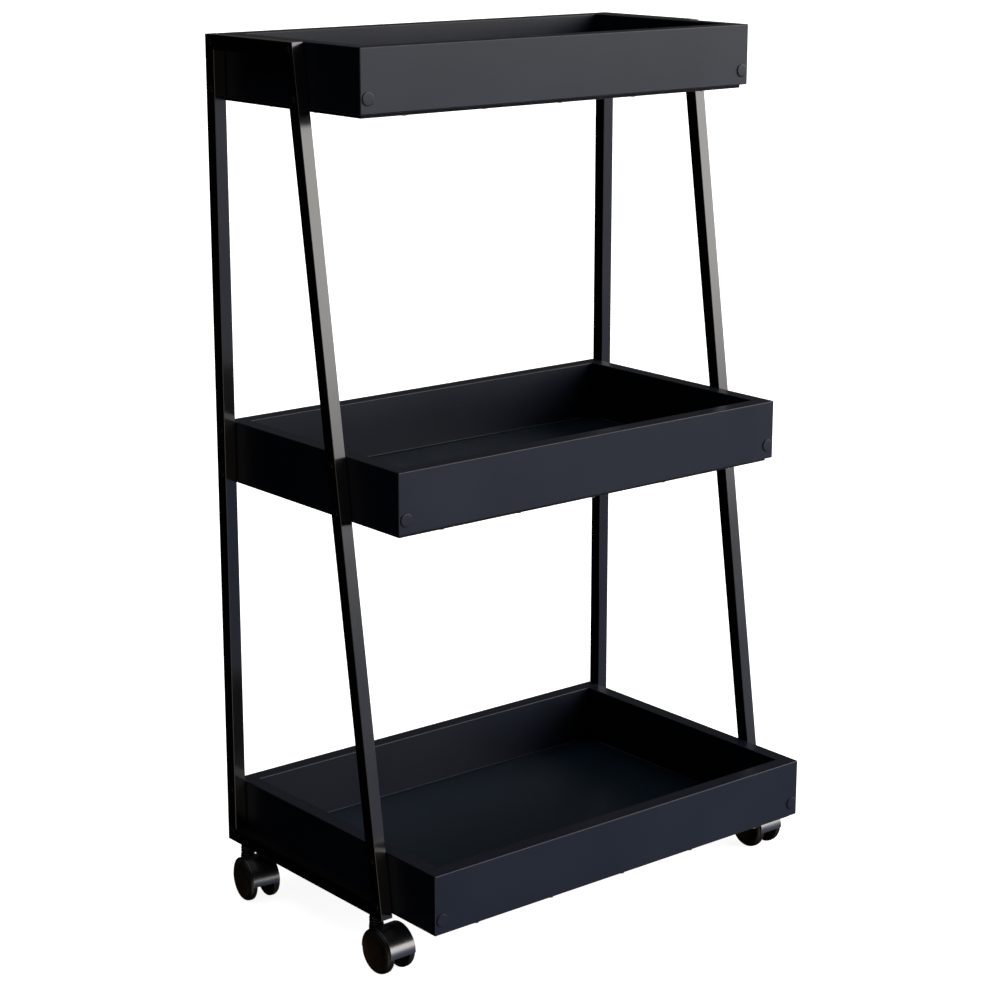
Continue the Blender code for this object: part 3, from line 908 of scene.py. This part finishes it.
# ---------------------------------------------------------------- studio
def build_floor_plane():
    """A pale studio floor that is bright all over and lets a view from below through."""
    bm = bmesh.new()
    bmesh.ops.create_grid(bm, x_segments=1, y_segments=1, size=FLOOR_SIZE)
    floor = bpy.data.objects.new("studio_floor", to_mesh(bm, "studio_floor"))
    bpy.context.scene.collection.objects.link(floor)
    floor.location.z = CAD_BOX[0].z
    floor.visible_glossy = False
    floor.visible_diffuse = False
    material = bpy.data.materials.new("pale_floor")
    material.use_nodes = True
    tree = material.node_tree
    shader = tree.nodes["Principled BSDF"]
    shader.inputs["Base Color"].default_value = (0.9, 0.9, 0.9, 1.0)
    shader.inputs["Roughness"].default_value = 0.9
    shader.inputs["Specular IOR Level"].default_value = 0.0
    shader.inputs["Emission Color"].default_value = (1.0, 1.0, 1.0, 1.0)
    shader.inputs["Emission Strength"].default_value = FLOOR_GLOW
    clear = add_node(tree, "ShaderNodeBsdfTransparent")
    side = add_node(tree, "ShaderNodeNewGeometry")
    choose = add_node(tree, "ShaderNodeMixShader")
    tree.links.new(side.outputs["Backfacing"], choose.inputs["Fac"])
    tree.links.new(shader.outputs["BSDF"], choose.inputs[1])
    tree.links.new(clear.outputs["BSDF"], choose.inputs[2])
    tree.links.new(choose.outputs["Shader"], tree.nodes["Material Output"].inputs["Surface"])
    floor.data.materials.append(material)


def sky_dot(tree, direction, axis):
    """Dot product of the sky direction and a fixed axis."""
    node = add_node(tree, "ShaderNodeVectorMath", operation="DOT_PRODUCT")
    tree.links.new(direction, node.inputs[0])
    node.inputs[1].default_value = Vector(axis).normalized()
    return node.outputs["Value"]


def multiply(tree, first, second):
    """Product of two values."""
    node = add_node(tree, "ShaderNodeMath", operation="MULTIPLY")
    tree.links.new(first, node.inputs[0])
    tree.links.new(second, node.inputs[1])
    return node.outputs["Value"]


def tinted_light(tree, value, color, strength):
    """A background light of one colour, scaled by a value."""
    light = add_node(tree, "ShaderNodeBackground")
    light.inputs["Color"].default_value = (*color, 1.0)
    scale = add_node(tree, "ShaderNodeMath", operation="MULTIPLY")
    tree.links.new(value, scale.inputs[0])
    scale.inputs[1].default_value = strength
    tree.links.new(scale.outputs["Value"], light.inputs["Strength"])
    return light.outputs["Background"]


def add_lights(tree, first, second):
    """Sum of two background lights."""
    node = add_node(tree, "ShaderNodeAddShader")
    tree.links.new(first, node.inputs[0])
    tree.links.new(second, node.inputs[1])
    return node.outputs["Shader"]


def build_studio_light():
    """A white studio: a soft key light at the front right, the floor's bounce and weak cards.

    The camera sees plain white, and only the trolley sees the lights.
    """
    world = bpy.data.worlds.new("studio")
    bpy.context.scene.world = world
    world.use_nodes = True
    tree = world.node_tree
    tree.nodes.clear()
    direction = add_node(tree, "ShaderNodeTexCoord").outputs["Generated"]
    height = sky_dot(tree, direction, (0, 0, 1))
    key_side = remap(tree, sky_dot(tree, direction, KEY_DIRECTION), *KEY_REACH, 0.0, 1.0)
    above_foot = remap(tree, height, *KEY_FOOT, 0.0, 1.0)
    below_top = remap(tree, height, *KEY_TOP, 1.0, 0.0)
    key = multiply(tree, multiply(tree, key_side, above_foot), below_top)
    light = tinted_light(tree, key, KEY_COLOR, KEY_STRENGTH)
    below_horizon = multiply(tree, key_side, remap(tree, height, *HORIZON, 1.0, 0.0))
    near_horizon = remap(tree, height, *HAZE_HEIGHTS, 0.0, 1.0)
    haze = tinted_light(
        tree, multiply(tree, below_horizon, near_horizon), HAZE_COLOR, HAZE_STRENGTH)
    light = add_lights(tree, light, haze)
    bounce = tinted_light(tree, below_horizon, BOUNCE_COLOR, BOUNCE_STRENGTH)
    light = add_lights(tree, light, bounce)
    for middle, reach, color, strength in CARDS.values():
        card = remap(tree, sky_dot(tree, direction, middle), *reach, 0.0, 1.0)
        light = add_lights(tree, light, tinted_light(tree, card, color, strength))
    white = add_node(tree, "ShaderNodeBackground")
    white.inputs["Color"].default_value = (1.0, 1.0, 1.0, 1.0)
    white.inputs["Strength"].default_value = BACKDROP_STRENGTH
    path = add_node(tree, "ShaderNodeLightPath")
    choose = add_node(tree, "ShaderNodeMixShader")
    output = add_node(tree, "ShaderNodeOutputWorld")
    tree.links.new(path.outputs["Is Camera Ray"], choose.inputs["Fac"])
    tree.links.new(light, choose.inputs[1])
    tree.links.new(white.outputs["Background"], choose.inputs[2])
    tree.links.new(choose.outputs["Shader"], output.inputs["Surface"])


def build_camera():
    """The viewpoint: front left, a little above the top tray, tilted down at the trolley."""
    camera = bpy.data.cameras.new("camera")
    viewer = bpy.data.objects.new("camera", camera)
    bpy.context.scene.collection.objects.link(viewer)
    camera.sensor_width = 36.0
    camera.lens = CAMERA_LENS
    camera.clip_end = 100.0
    left_low, left_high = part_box("top_tray_left_wall")
    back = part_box("top_tray_back_wall")[1].y
    viewer.location = (
        left_low.x - CAMERA_LEFT, back - CAMERA_AHEAD, left_high.z + CAMERA_ABOVE)
    viewer.rotation_euler = (math.radians(90.0 - CAMERA_TILT), 0.0, math.radians(-CAMERA_TURN))
    bpy.context.scene.camera = viewer


# ---------------------------------------------------------------- assembly
build_camera()
build_studio_light()
build_floor_plane()
bpy.context.scene.view_settings.view_transform = "Standard"

for tray_tier in TIERS:
    for wall_name in ("front", "back", "left", "right"):
        build_wall(tray_tier, wall_name)
    build_floor(tray_tier)
    build_floor_screws(tray_tier)
    for tray_end in ("front", "back"):
        for tray_side in SIDES:
            build_corner_screw(f"{tray_tier}_tray_{tray_end}_{tray_side}_screw", tray_end)

for frame_side in SIDES:
    for tube_index, tube_name in enumerate(("rear_post", "top_rail", "front_leg", "bottom_rail")):
        build_tube(frame_side, tube_index, tube_name)
    build_frame_screws(frame_side)

for caster_end in ENDS:
    for caster_side in SIDES:
        build_caster(f"{caster_end}_{caster_side}_caster")
